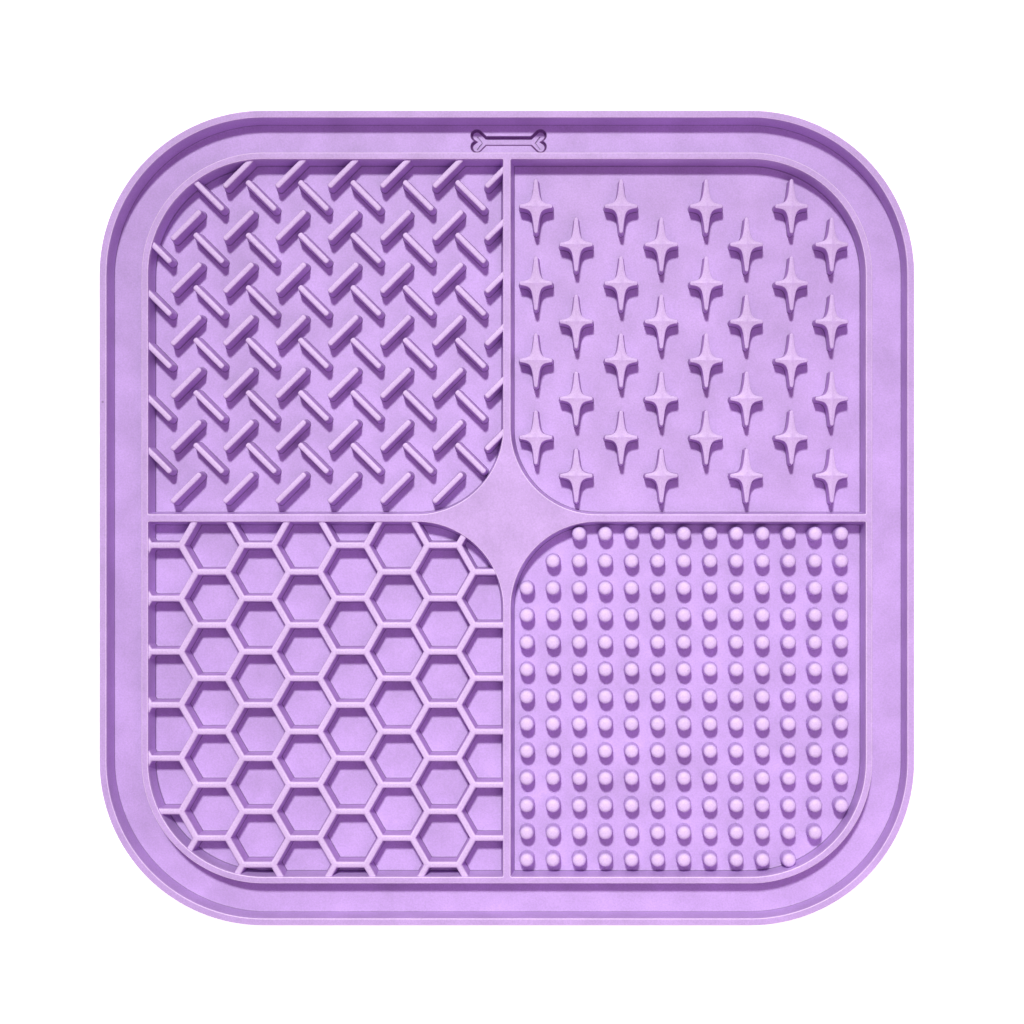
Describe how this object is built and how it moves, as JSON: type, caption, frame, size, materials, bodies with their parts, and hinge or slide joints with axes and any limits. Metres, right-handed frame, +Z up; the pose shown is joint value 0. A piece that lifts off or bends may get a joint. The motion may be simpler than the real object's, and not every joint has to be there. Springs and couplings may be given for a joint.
{
  "type": "lick mat",
  "caption": "Square one-piece silicone lick mat with a raised lip, a run-off channel and walled pockets of bars, stars, honeycomb and pegs.",
  "frame": {"origin": "middle of the flat underside", "axes": "+Z up out of the textured face, +Y towards the side that carries the bone, +X towards the pockets of stars and pegs"},
  "size_m": [0.2008, 0.2008, 0.0087],
  "materials": {
    "silicone": "satin lilac silicone"
  },
  "bodies": {
    "root": {"mat": "silicone"}
  },
  "joints": []
}
